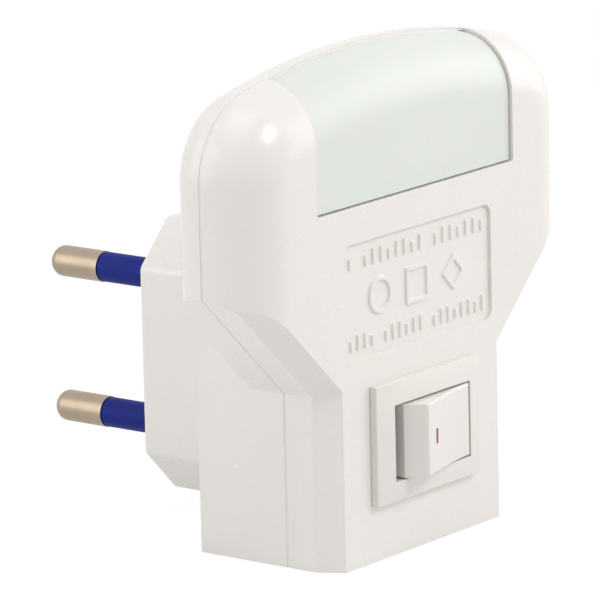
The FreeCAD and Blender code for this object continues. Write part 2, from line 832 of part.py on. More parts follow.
def axial_part(x, z, diameter, length):
    """A round body on two leads that bend down to the board."""
    x_axis = Vector(1, 0, 0)
    y = board_front_y - diameter / 2 - axial_lead
    body = Part.makeCylinder(diameter / 2, length, Vector(x - length / 2, y, z), x_axis)
    body = rounded(body, diameter / 5, lambda edge: edge.Closed)
    reach = length / 2 + axial_overhang
    lead = Part.makeCylinder(axial_lead / 2, 2 * reach, Vector(x - reach, y, z), x_axis)
    legs = [rod(axial_lead / 2, x + side * reach, z, y, board_front_y) for side in (-1, 1)]
    elbows = [Part.makeSphere(axial_lead / 2, Vector(x + side * reach, y, z)) for side in (-1, 1)]
    return body.fuse([lead] + legs + elbows).removeSplitter()


def rectifier_diodes():
    """Four diodes in two rows."""
    diodes = []
    for side in (-1, 1):
        for row in (-1, 1):
            x = diode_centre[0] + side * diode_pitch[0] / 2
            z = foot_z + diode_centre[1] + row * diode_pitch[1] / 2
            diodes.append(axial_part(x, z, diode_diameter, diode_length))
    return Part.makeCompound(diodes)


def resistor(place):
    """One resistor at its (x, height) place."""
    return axial_part(place[0], foot_z + place[1], resistor_diameter, resistor_length)


# Wires: straight runs joined by tangent arcs
def wire_route(points):
    """A smooth path through the points, with each bend as large as its two runs allow."""
    edges = []
    start = points[0]
    for before, corner, after in zip(points, points[1:], points[2:]):
        setback = wire_turn_share * min((before - corner).Length, (after - corner).Length)
        first = corner + (before - corner).normalize() * setback
        last = corner + (after - corner).normalize() * setback
        edges.append(Part.LineSegment(start, first).toShape())
        edges.append(bend(first, corner, last))
        start = last
    edges.append(Part.LineSegment(start, points[-1]).toShape())
    return Part.Wire(edges)


def wire_along(points):
    """An insulated wire along a route."""
    route = wire_route(points)
    section = Part.Wire(Part.makeCircle(wire_diameter / 2, points[0], points[1] - points[0]))
    return route.makePipeShell([section], True, False)


def live_wire():
    """From the upper pin's tail down to the switch's middle terminal."""
    end_y = front_y + blade_end_depth
    turn_y = (tail_end_y + end_y) / 2
    points = [Vector(0, tail_end_y, pin_z), Vector(0, turn_y, pin_z)]
    points += [Vector(0, turn_y, switch_z), Vector(0, end_y, switch_z)]
    return wire_along(points)


def to_board(side):
    """The last two points of a wire that climbs beside the switch to the board's back."""
    entry_z = foot_z + wire_entry_height
    climb_y = stem_back_y - wall - 2 * wire_diameter
    return [Vector(side * wire_side, climb_y, entry_z), Vector(side * wire_side, board_back_y, entry_z)]


def neutral_wire():
    """From the lower pin's tail across the stem and up to the board."""
    cross_y = stem_back_y - wall - wire_diameter
    rise = wire_diameter
    points = [Vector(0, tail_end_y, -pin_z), Vector(0, cross_y, -pin_z)]
    points.append(Vector(-wire_side, cross_y - wire_diameter / 2, -pin_z + rise))
    return wire_along(points + to_board(-1))


def switched_wire():
    """From the switch's outer terminal across the stem and up to the board."""
    start_y = front_y + blade_end_depth
    cross_y = stem_back_y - wall - wire_diameter / 2 - fit_clearance
    points = [Vector(on_blade_offset, start_y, switch_z), Vector(on_blade_offset, cross_y, switch_z)]
    points.append(Vector(wire_side, cross_y - wire_diameter / 2, switch_z + wire_diameter))
    return wire_along(points + to_board(1))


def parts():
    """Every piece of the light, by the name a person would use."""
    return {
        "front_shell": front_shell(),
        "rear_cover": rear_cover(),
        "diffuser_lens": diffuser_lens(),
        "pin_upper": pin(pin_z),
        "pin_lower": pin(-pin_z),
        "sleeve_upper": pin_sleeve(pin_z),
        "sleeve_lower": pin_sleeve(-pin_z),
        "pin_carrier": pin_carrier(),
        "housing_screws": housing_screws(),
        "switch_frame": switch_frame(),
        "switch_rocker": switch_rocker(),
        "rocker_plunger": rocker_plunger(),
        "plunger_spring": plunger_spring(),
        "contact_bridge": contact_bridge(),
        "terminal_common": terminal_common(),
        "terminal_on": terminal_on(),
        "circuit_board": circuit_board(),
        "leds": leds(),
        "dropper_capacitor": dropper_capacitor(),
        "smoothing_capacitor": smoothing_capacitor(),
        "rectifier_diodes": rectifier_diodes(),
        "surge_resistor": resistor(surge_place),
        "bleed_resistor": resistor(bleed_place),
        "live_wire": live_wire(),
        "switched_wire": switched_wire(),
        "neutral_wire": neutral_wire(),
    }


os.makedirs("parts", exist_ok=True)
for name, shape in parts().items():
    shape.exportStep("parts/" + name + ".step")
    print(name, "solids", len(shape.Solids), "valid", shape.isValid(), "volume", round(shape.Volume, 2))
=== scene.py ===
"""The looks of a plug-in night light: its finishes, its rounded edges, its studio and its camera."""

import logging
import math
from dataclasses import dataclass
from enum import Enum
from typing import Any, Union

import bmesh
import bpy
from mathutils import Matrix, Vector
from mathutils.bvhtree import BVHTree


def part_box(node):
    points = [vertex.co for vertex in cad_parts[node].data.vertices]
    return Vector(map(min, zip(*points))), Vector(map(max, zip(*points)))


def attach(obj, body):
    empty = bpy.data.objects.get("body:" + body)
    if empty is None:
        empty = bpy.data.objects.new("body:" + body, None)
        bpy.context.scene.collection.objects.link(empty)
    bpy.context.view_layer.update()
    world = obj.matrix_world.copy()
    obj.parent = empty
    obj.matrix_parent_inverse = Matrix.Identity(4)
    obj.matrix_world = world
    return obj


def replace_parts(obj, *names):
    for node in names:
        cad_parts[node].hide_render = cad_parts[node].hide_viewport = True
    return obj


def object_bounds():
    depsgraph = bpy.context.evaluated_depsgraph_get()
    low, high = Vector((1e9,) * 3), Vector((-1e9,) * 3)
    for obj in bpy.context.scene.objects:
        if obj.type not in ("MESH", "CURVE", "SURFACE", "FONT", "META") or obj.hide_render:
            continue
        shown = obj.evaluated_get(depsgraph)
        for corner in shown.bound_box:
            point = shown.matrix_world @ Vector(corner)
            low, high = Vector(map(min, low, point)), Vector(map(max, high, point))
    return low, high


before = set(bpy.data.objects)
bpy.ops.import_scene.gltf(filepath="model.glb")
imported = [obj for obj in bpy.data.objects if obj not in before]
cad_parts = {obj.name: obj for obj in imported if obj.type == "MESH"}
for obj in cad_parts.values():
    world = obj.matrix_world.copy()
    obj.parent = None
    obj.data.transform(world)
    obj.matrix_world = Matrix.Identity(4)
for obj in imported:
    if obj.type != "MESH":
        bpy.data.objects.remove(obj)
cad_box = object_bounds()

MM = 0.001
# Points nearer to each other than this are one point
MERGE_DISTANCE = 0.0005 * MM
# Faces that lean less than this from each other, in degrees, are parts of one face
FLAT_ANGLE = 0.3
# An edge sharper than this, in degrees, is rounded, unless its piece says otherwise
SHARP_ANGLE = 28.0
# An edge shorter than this many widths of its rounding stays crisp
SHORTEST_ROUNDED = 2.5
# How many finer layers the noise has: in wide patches, and in a grain that is fine already
PATCH_DETAIL = 3.0
GRAIN_DETAIL = 2.0
# A wave texture of scale 1 repeats after this length
WAVE_PERIOD = math.pi / 10

Tree = bpy.types.NodeTree
Socket = bpy.types.NodeSocket
Colour = tuple[float, float, float, float]
Paint = Union[Colour, Socket]
Value = Union[float, Socket]

log = logging.getLogger("night_light")
logging.basicConfig(level=logging.INFO, format="%(name)s: %(message)s")


class Body(Enum):
    """The rigid bodies that new pieces ride on."""

    CASING = "casing"
    ROCKER = "rocker"


class Axis(Enum):
    """The direction that a pattern's rings or bands follow one another in."""

    X = "X"
    Y = "Y"
    Z = "Z"


def linear(code: str) -> Colour:
    """Turns an sRGB hex value to a linear colour, by the sRGB curve.

    Args:
        code: The colour as "#RRGGBB".

    Returns:
        The linear red, green and blue, and an alpha of 1.
    """
    parts = [int(code[i : i + 2], 16) / 255 for i in (1, 3, 5)]
    bright = [part / 12.92 if part <= 0.04045 else ((part + 0.055) / 1.055) ** 2.4 for part in parts]
    return (*bright, 1.0)


def add_node(tree: Tree, kind: str, inputs: dict[Any, Any] | None = None, **settings: Any) -> bpy.types.Node:
    """Adds a node with its settings, and sets or links its inputs.

    Args:
        tree: The node tree.
        kind: The node's type.
        inputs: A value or another node's output for each input, by name or place.
        settings: The node's own properties.

    Returns:
        The new node.
    """
    node = tree.nodes.new(kind)
    for name, value in settings.items():
        setattr(node, name, value)
    for name, value in (inputs or {}).items():
        if isinstance(value, Socket):
            tree.links.new(value, node.inputs[name])
        else:
            node.inputs[name].default_value = value
    return node


def new_material(name: str) -> tuple[bpy.types.Material, Tree, Socket]:
    """Starts a material.

    Args:
        name: The finish's common name.

    Returns:
        The material, its node tree and the Object coordinates.
    """
    material = bpy.data.materials.new(name)
    material.use_nodes = True
    material.node_tree.nodes.clear()
    place = add_node(material.node_tree, "ShaderNodeTexCoord").outputs["Object"]
    return material, material.node_tree, place


def finish_shader(tree: Tree, inputs: dict[str, Any]) -> None:
    """Ends a material in one shader.

    Args:
        tree: The material's node tree.
        inputs: The shader's inputs, each a value or a link.
    """
    shader = add_node(tree, "ShaderNodeBsdfPrincipled", inputs)
    add_node(tree, "ShaderNodeOutputMaterial", {"Surface": shader.outputs["BSDF"]})


def patches(tree: Tree, place: Socket, size_mm: float, detail: float = PATCH_DETAIL) -> Socket:
    """Makes soft random patches of a real size.

    Args:
        tree: The material's node tree.
        place: The coordinates to read.
        size_mm: How far apart the patches are.
        detail: How many finer layers they carry.

    Returns:
        A value from 0 to 1.
    """
    inputs = {"Vector": place, "Scale": 1 / (size_mm * MM), "Detail": detail}
    return add_node(tree, "ShaderNodeTexNoise", inputs).outputs["Fac"]


def blend_colours(tree: Tree, share: Value, first: Paint, second: Paint) -> Socket:
    """Mixes two colours.

    Args:
        tree: The material's node tree.
        share: How much of the second colour shows.
        first: The first colour.
        second: The second colour.

    Returns:
        The mixed colour.
    """
    mix = add_node(tree, "ShaderNodeMix", {0: share, 6: first, 7: second}, data_type="RGBA")
    return mix.outputs[2]


def spread(tree: Tree, pattern: Socket, low: float, high: float) -> Socket:
    """Spreads a pattern between two values.

    Args:
        tree: The material's node tree.
        pattern: The pattern, from 0 to 1.
        low: What its darkest places become.
        high: What its lightest places become.

    Returns:
        The spread value.
    """
    inputs = {"Value": pattern, "To Min": low, "To Max": high}
    return add_node(tree, "ShaderNodeMapRange", inputs).outputs["Result"]


def relief(tree: Tree, height: Socket, depth_mm: float) -> Socket:
    """Turns a pattern to a relief of a real depth.

    Args:
        tree: The material's node tree.
        height: The pattern, from 0 to 1.
        depth_mm: The relief's depth.

    Returns:
        The bumped normal.
    """
    return add_node(tree, "ShaderNodeBump", {"Height": height, "Distance": depth_mm * MM}).outputs["Normal"]


def within(tree: Tree, place: Socket, axis: Axis, middle: float, half: float) -> Socket:
    """Finds the places near a plane across one axis.

    Args:
        tree: The material's node tree.
        place: The coordinates to read.
        axis: The axis that the plane stands across.
        middle: Where the plane is, in metres.
        half: How far from it a place may be, in metres.

    Returns:
        1 near the plane and 0 elsewhere.
    """
    part = add_node(tree, "ShaderNodeSeparateXYZ", {"Vector": place}).outputs[axis.value]
    near = add_node(tree, "ShaderNodeMath", {0: part, 1: middle, 2: half}, operation="COMPARE")
    return near.outputs["Value"]


@dataclass(frozen=True)
class MouldedPlastic:
    """A moulded plastic: an even colour with faint flow clouds, and the fine grain of its mould."""

    name: str
    colour: str
    cloud_colour: str
    roughness: float
    roughness_spread: float = 0.04
    ior: float = 1.53
    cloud_mm: float = 14.0
    # A real mould leaves a finer grain than this, drawn as coarse as it needs to show
    grain_mm: float = 0.35
    grain_depth_mm: float = 0.004
    glow: float = 0.0
    glow_depth_mm: float = 1.2
    transmission: float = 0.0

    def material(self) -> bpy.types.Material:
        """Makes the plastic's material.

        Returns:
            The material.
        """
        material, tree, place = new_material(self.name)
        clouds = patches(tree, place, self.cloud_mm)
        grain = patches(tree, place, self.grain_mm, GRAIN_DETAIL)
        smooth, rough = self.roughness - self.roughness_spread, self.roughness + self.roughness_spread
        inputs = {
            "Base Color": blend_colours(tree, clouds, linear(self.cloud_colour), linear(self.colour)),
            "Roughness": spread(tree, grain, smooth, rough),
            "IOR": self.ior,
            "Transmission Weight": self.transmission,
            "Subsurface Weight": self.glow,
            "Subsurface Scale": self.glow_depth_mm * MM,
            "Normal": relief(tree, grain, self.grain_depth_mm),
        }
        finish_shader(tree, inputs)
        return material


@dataclass(frozen=True)
class TurnedMetal:
    """A turned or drawn metal: fine rings left by the tool, under a skin that is duller in patches."""

    name: str
    colour: str
    stain_colour: str
    roughness: float
    # A real tool leaves its rings nearer together, drawn as far apart as they need to show
    ring_mm: float
    ring_depth_mm: float
    axis: Axis = Axis.Y
    ring_wobble: float = 1.5
    stain_mm: float = 2.5
    stain_dullness: float = 0.06
    clean_gloss: float = 0.04

    def material(self) -> bpy.types.Material:
        """Makes the metal's material.

        Returns:
            The material.
        """
        material, tree, place = new_material(self.name)
        rings = add_node(
            tree,
            "ShaderNodeTexWave",
            {
                "Vector": place,
                "Scale": WAVE_PERIOD / (self.ring_mm * MM),
                "Distortion": self.ring_wobble,
                "Detail": GRAIN_DETAIL,
            },
            bands_direction=self.axis.value,
        ).outputs["Fac"]
        stains = patches(tree, place, self.stain_mm)
        dull, bright = self.roughness + self.stain_dullness, self.roughness - self.clean_gloss
        inputs = {
            "Base Color": blend_colours(tree, stains, linear(self.stain_colour), linear(self.colour)),
            "Metallic": 1.0,
            "Roughness": spread(tree, stains, dull, bright),
            "Normal": relief(tree, rings, self.ring_depth_mm),
        }
        finish_shader(tree, inputs)
        return material


@dataclass(frozen=True)
class StampedStrip:
    """A stamped metal strip: grain lines from rolling, with darker tarnish in patches."""

    name: str
    colour: str
    tarnish_colour: str
    roughness: float = 0.32
    roughness_spread: float = 0.08
    # Real rolling lines are finer than this, drawn as coarse as they need to show
    line_mm: float = 0.12
    line_stretch: float = 25.0
    line_depth_mm: float = 0.004
    tarnish_mm: float = 1.8

    def material(self) -> bpy.types.Material:
        """Makes the strip's material.

        Returns:
            The material.
        """
        material, tree, place = new_material(self.name)
        longer = (1.0, 1 / self.line_stretch, 1.0)
        along = add_node(tree, "ShaderNodeMapping", {"Vector": place, "Scale": longer}).outputs["Vector"]
        lines = patches(tree, along, self.line_mm, GRAIN_DETAIL)
        tarnish = patches(tree, place, self.tarnish_mm)
        smooth, rough = self.roughness - self.roughness_spread, self.roughness + self.roughness_spread
        inputs = {
            "Base Color": blend_colours(tree, tarnish, linear(self.tarnish_colour), linear(self.colour)),
            "Metallic": 1.0,
            "Roughness": spread(tree, lines, smooth, rough),
            "Normal": relief(tree, lines, self.line_depth_mm),
        }
        finish_shader(tree, inputs)
        return material


@dataclass(frozen=True)
class Laminate:
    """A circuit board's laminate: a lacquered sheet with copper tracks that show through it."""

    name: str
    colour: str
    track_colour: str
    track_mm: float = 2.2
    track_disorder: float = 0.35
    gap_share: float = 0.16
    copper_mm: float = 0.035
    fibre_mm: float = 0.4
    fibre_share: float = 0.25
    smoothest: float = 0.35
    roughest: float = 0.5

    def material(self) -> bpy.types.Material:
        """Makes the board's material.

        Returns:
            The material.
        """
        material, tree, place = new_material(self.name)
        cells = add_node(
            tree,
            "ShaderNodeTexVoronoi",
            {"Vector": place, "Scale": 1 / (self.track_mm * MM), "Randomness": self.track_disorder},
            feature="DISTANCE_TO_EDGE",
            distance="CHEBYCHEV",
        ).outputs["Distance"]
        inside = add_node(tree, "ShaderNodeMath", {0: cells, 1: self.gap_share}, operation="GREATER_THAN")
        tracks = inside.outputs["Value"]
        fibres = patches(tree, place, self.fibre_mm)
        paper, copper = linear(self.colour), linear(self.track_colour)
        board = blend_colours(tree, spread(tree, fibres, 0.0, self.fibre_share), paper, copper)
        inputs = {
            "Base Color": blend_colours(tree, tracks, board, copper),
            "Roughness": spread(tree, fibres, self.smoothest, self.roughest),
            "Normal": relief(tree, tracks, self.copper_mm),
        }
        finish_shader(tree, inputs)
        return material


@dataclass(frozen=True)
class BandedBody:
    """A lacquered or moulded round body with painted bands, on bare metal leads."""

    name: str
    colour: str
    lead_colour: str
    middles: tuple[float, ...]
    half_length_mm: float
    bands: tuple[tuple[float, str], ...]
    band_mm: float = 0.45
    roughness: float = 0.4
    roughness_spread: float = 0.08
    speckle_mm: float = 0.3
    speckle_depth_mm: float = 0.01

    def material(self) -> bpy.types.Material:
        """Makes the component's material.

        Returns:
            The material.
        """
        material, tree, place = new_material(self.name)
        speckle = patches(tree, place, self.speckle_mm)
        paint: Paint = linear(self.colour)
        body: Value = 0.0
        for middle in self.middles:
            for offset_mm, colour in self.bands:
                band = within(tree, place, Axis.X, middle + offset_mm * MM, self.band_mm / 2 * MM)
                paint = blend_colours(tree, band, paint, linear(colour))
            inside = within(tree, place, Axis.X, middle, self.half_length_mm * MM)
            either = add_node(tree, "ShaderNodeMath", {0: body, 1: inside}, operation="MAXIMUM")
            body = either.outputs["Value"]
        smooth, rough = self.roughness - self.roughness_spread, self.roughness + self.roughness_spread
        inputs = {
            "Base Color": blend_colours(tree, body, linear(self.lead_colour), paint),
            "Metallic": spread(tree, body, 1.0, 0.0),
            "Roughness": spread(tree, speckle, smooth, rough),
            "Normal": relief(tree, speckle, self.speckle_depth_mm),
        }
        finish_shader(tree, inputs)
        return material


Finish = Union[MouldedPlastic, TurnedMetal, StampedStrip, Laminate, BandedBody]


def insulation(shade: str, colour: str, cloud_colour: str) -> MouldedPlastic:
    """Describes one wire's extruded PVC: half matt and soft-looking, and slightly uneven along the wire.

    Args:
        shade: The colour's name.
        colour: The colour.
        cloud_colour: What it turns to in the clouds.

    Returns:
        The finish.
    """
    return MouldedPlastic(
        f"PVC insulation, {shade}",
        colour,
        cloud_colour,
        0.45,
        ior=1.54,
        cloud_mm=2.0,
        grain_mm=0.3,
        grain_depth_mm=0.02,
    )


# Warm white ABS, moulded in a polished tool: even and satin, with a soft sheen on its curves
CASING_ABS = MouldedPlastic(
    "ABS, warm white, moulded satin", "#EFEBE7", "#EBE7E2", 0.26, grain_depth_mm=0.0012, glow=0.06
)
# The switch's harder plastic: a slightly greyer white than the casing's, with crisper reflections
SWITCH_PC = MouldedPlastic("Polycarbonate, white, moulded gloss", "#EAE7E2", "#E6E3DD", 0.24, glow=0.05)
# Frosted by its mould's etched face: light passes, but nothing behind it shows sharply
FROSTED_PC = MouldedPlastic(
    "Polycarbonate, frosted translucent",
    "#E9ECE6",
    "#E3E7E1",
    0.42,
    ior=1.58,
    cloud_mm=20.0,
    grain_mm=0.3,
    grain_depth_mm=0.01,
    glow=0.35,
    transmission=0.06,
)
# Moulded nylon, smooth but dull, so that it stays deep blue under the lamps. Nylon's own IOR is 1.53:
# this one was matched to the photo, where the sleeves hardly shine
SLEEVE_NYLON = MouldedPlastic(
    "Nylon, dark blue, moulded",
    "#042084",
    "#031870",
    0.6,
    ior=1.33,
    cloud_mm=3.0,
    grain_mm=0.2,
    grain_depth_mm=0.006,
)
# Nylon from an unpolished tool: a flat mid grey with a dull, faintly rough skin
CARRIER_NYLON = MouldedPlastic("Nylon, grey, moulded", "#A6A6A2", "#9B9B97", 0.5, grain_depth_mm=0.02)
# Undyed nylon: creamy, and soft at its edges, because a little light goes through it
PLUNGER_NYLON = MouldedPlastic("Nylon, natural, moulded", "#E2DDCB", "#D6D0BC", 0.4, glow=0.1)
# Ink from a printing pad: flat, half matt, and a little uneven in strength
MARK_INK = MouldedPlastic(
    "Pad-printed ink, dark red",
    "#8E2A36",
    "#7C222E",
    0.45,
    ior=1.5,
    cloud_mm=1.0,
    grain_mm=0.1,
    grain_depth_mm=0.004,
)
# A smooth moulded box filled with resin: strong yellow, with a clear shine on its flat sides
FILM_CASE = MouldedPlastic(
    "Polyester case, yellow, filled",
    "#D9A21B",
    "#CE9715",
    0.3,
    ior=1.55,
    cloud_mm=4.0,
    grain_mm=0.4,
    grain_depth_mm=0.02,
)
# A sleeve shrunk tight over the can: nearly black blue, and glossy
CAN_SLEEVE = MouldedPlastic(
    "PVC shrink sleeve, dark blue",
    "#1B2236",
    "#141A2A",
    0.25,
    ior=1.54,
    cloud_mm=3.0,
    grain_mm=0.5,
    grain_depth_mm=0.02,
)
# Clear resin cast in a smooth form: wet-looking, and milky where the light has far to go
LED_EPOXY = MouldedPlastic(
    "Epoxy, clear cast",
    "#EEF0E2",
    "#E4E8D2",
    0.12,
    ior=1.55,
    cloud_mm=3.0,
    grain_mm=0.5,
    grain_depth_mm=0.002,
    glow=0.2,
    transmission=0.5,
)
# Three wires, told apart by the plain colours of their insulation
WIRE_BROWN = insulation("brown", "#5A3320", "#4E2B1A")
WIRE_BLACK = insulation("black", "#26262A", "#1D1D20")
WIRE_BLUE = insulation("blue", "#2F6FB5", "#2862A2")
# Nickel over turned brass: a warm grey metal with a soft gloss and faint rings round the pin
PIN_NICKEL = TurnedMetal("Brass, turned, nickel-plated", "#B6A693", "#9C8D79", 0.38, 0.22, 0.005)
# Zinc over steel: a cool pale grey, a little blotchy, with a half-bright head
SCREW_ZINC = TurnedMetal("Steel, rolled thread, zinc-plated", "#BFC1C2", "#9C9EA0", 0.34, 0.314, 0.01)
# Wire drawn through a die: an even, middling grey with a soft shine and hardly any marks
SPRING_STEEL = TurnedMetal("Spring steel, drawn wire", "#A9A9A6", "#8C8C88", 0.3, 0.063, 0.002, Axis.Z)
# Rolled brass: fine lines one way, and brown where it has tarnished
CONTACT_BRASS = StampedStrip("Brass, rolled and stamped", "#D9B56A", "#A8823F")
# Resin-soaked paper: yellow-brown, with darker raised fields where copper lies under the lacquer
BOARD_LAMINATE = Laminate("Paper laminate, lacquered copper tracks", "#B98A45", "#8F6B2E")


def wear(piece: bpy.types.Object, material: bpy.types.Material) -> bpy.types.Object:
    """Gives a piece its material.

    Args:
        piece: The piece.
        material: Its material.

    Returns:
        The same piece.
    """
    piece.data.materials.clear()
    piece.data.materials.append(material)
    for polygon in piece.data.polygons:
        polygon.material_index = 0
    return piece


def add_object(name: str, data: bpy.types.ID) -> bpy.types.Object:
    """Adds an object to the scene.

    Args:
        name: The object's name.
        data: Its mesh, lamp or camera.

    Returns:
        The object, at the origin.
    """
    added = bpy.data.objects.new(name, data)
    bpy.context.scene.collection.objects.link(added)
    return added


def add_mesh(name: str, mesh: bmesh.types.BMesh) -> bpy.types.Object:
    """Adds an object made of a finished mesh.

    Args:
        name: The object's name.
        mesh: Its mesh, where the CAD has its place, which is freed.

    Returns:
        The object, at the origin.
    """
    data = bpy.data.meshes.new(name)
    mesh.to_mesh(data)
    mesh.free()
    return add_object(name, data)


def new_piece(name: str, mesh: bmesh.types.BMesh, body: Body) -> bpy.types.Object:
    """Makes a piece of the night light, riding on a body.

    Args:
        name: The piece's name.
        mesh: Its mesh, where the CAD has its place, which is freed.
        body: The body it rides on.

    Returns:
        The piece.
    """
    piece = add_mesh(name, mesh)
    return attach(piece, body.value)


def cad_mesh(node: str) -> bmesh.types.BMesh:
    """Copies a CAD node's mesh.

    Args:
        node: The CAD node.

    Returns:
        The copy, still in loose triangles.
    """
    mesh = bmesh.new()
    mesh.from_mesh(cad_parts[node].data)
    return mesh


def merge_points(mesh: bmesh.types.BMesh) -> None:
    """Makes one point of those in the same place."""
    bmesh.ops.remove_doubles(mesh, verts=mesh.verts, dist=MERGE_DISTANCE)


def shade_by_angle(piece: bpy.types.Object, angle: float) -> None:
    """Shades a piece smoothly, apart from edges sharper than an angle in degrees."""
    piece.data.shade_smooth()
    piece.data.set_sharp_from_angle(angle=math.radians(angle))


def soften(piece: bpy.types.Object, width_mm: float, angle: float, segments: int = 3) -> None:
    """Rounds a piece's sharp edges, with its flat faces still shaded flat.

    Args:
        piece: The piece.
        width_mm: The width of the rounding.
        angle: How sharp an edge is rounded, in degrees.
        segments: How many faces make the rounding.
    """
    shade_by_angle(piece, angle)
    mesh = bmesh.new()
    mesh.from_mesh(piece.data)
    weight = mesh.edges.layers.float.new("bevel_weight_edge")
    for edge in mesh.edges:
        is_long = edge.calc_length() > SHORTEST_ROUNDED * width_mm * MM
        if is_long and edge.is_manifold and edge.calc_face_angle() > math.radians(angle):
            edge[weight] = 1.0
    mesh.to_mesh(piece.data)
    mesh.free()
    edges = piece.modifiers.new("Rounded edges", "BEVEL")
    edges.limit_method = "WEIGHT"
    edges.width = width_mm * MM
    edges.segments = segments
    # A clamp would narrow every rounding to what the shortest edge allows
    edges.use_clamp_overlap = False
    edges.harden_normals = True


def rounded_copy(
    node: str, name: str, body: Body, width_mm: float, angle: float = SHARP_ANGLE, segments: int = 3
) -> bpy.types.Object:
    """Makes a copy of a CAD node with joined faces and rounded edges, to stand for it.

    Args:
        node: The CAD node.
        name: The copy's name.
        body: The body it rides on.
        width_mm: The width of the rounding.
        angle: How sharp an edge is rounded, in degrees.
        segments: How many faces make the rounding.

    Returns:
        The copy.
    """
    mesh = cad_mesh(node)
    merge_points(mesh)
    flat = math.radians(FLAT_ANGLE)
    bmesh.ops.dissolve_limit(mesh, angle_limit=flat, verts=mesh.verts, edges=mesh.edges)
    piece = new_piece(name, mesh, body)
    # The node's stored normals belong to its loose triangles, and would shade the joined faces wrongly
    old_normals = piece.data.attributes.get("custom_normal")
    if old_normals:
        piece.data.attributes.remove(old_normals)
    soften(piece, width_mm, angle, segments)
    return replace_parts(piece, node)


def lathe(profile_mm: list[tuple[float, float]], height: float, steps: int = 64) -> bmesh.types.BMesh:
    """Turns a profile round an axis that runs from front to back.

    Args:
        profile_mm: The profile's (radius, depth) points, closed by themselves.
        height: The axis's height, in metres.
        steps: How many faces go round.

    Returns:
        The turned mesh.
    """
    mesh = bmesh.new()
    ring = [mesh.verts.new((radius * MM, depth * MM, height)) for radius, depth in profile_mm]
    for first, second in zip(ring, ring[1:] + ring[:1]):
        mesh.edges.new((first, second))
    bmesh.ops.spin(
        mesh,
        geom=mesh.verts[:] + mesh.edges[:],
        cent=(0, 0, height),
        axis=(0, 1, 0),
        angle=2 * math.pi,
        steps=steps,
        use_merge=True,
    )
    merge_points(mesh)
    bmesh.ops.recalc_face_normals(mesh, faces=mesh.faces)
    return mesh


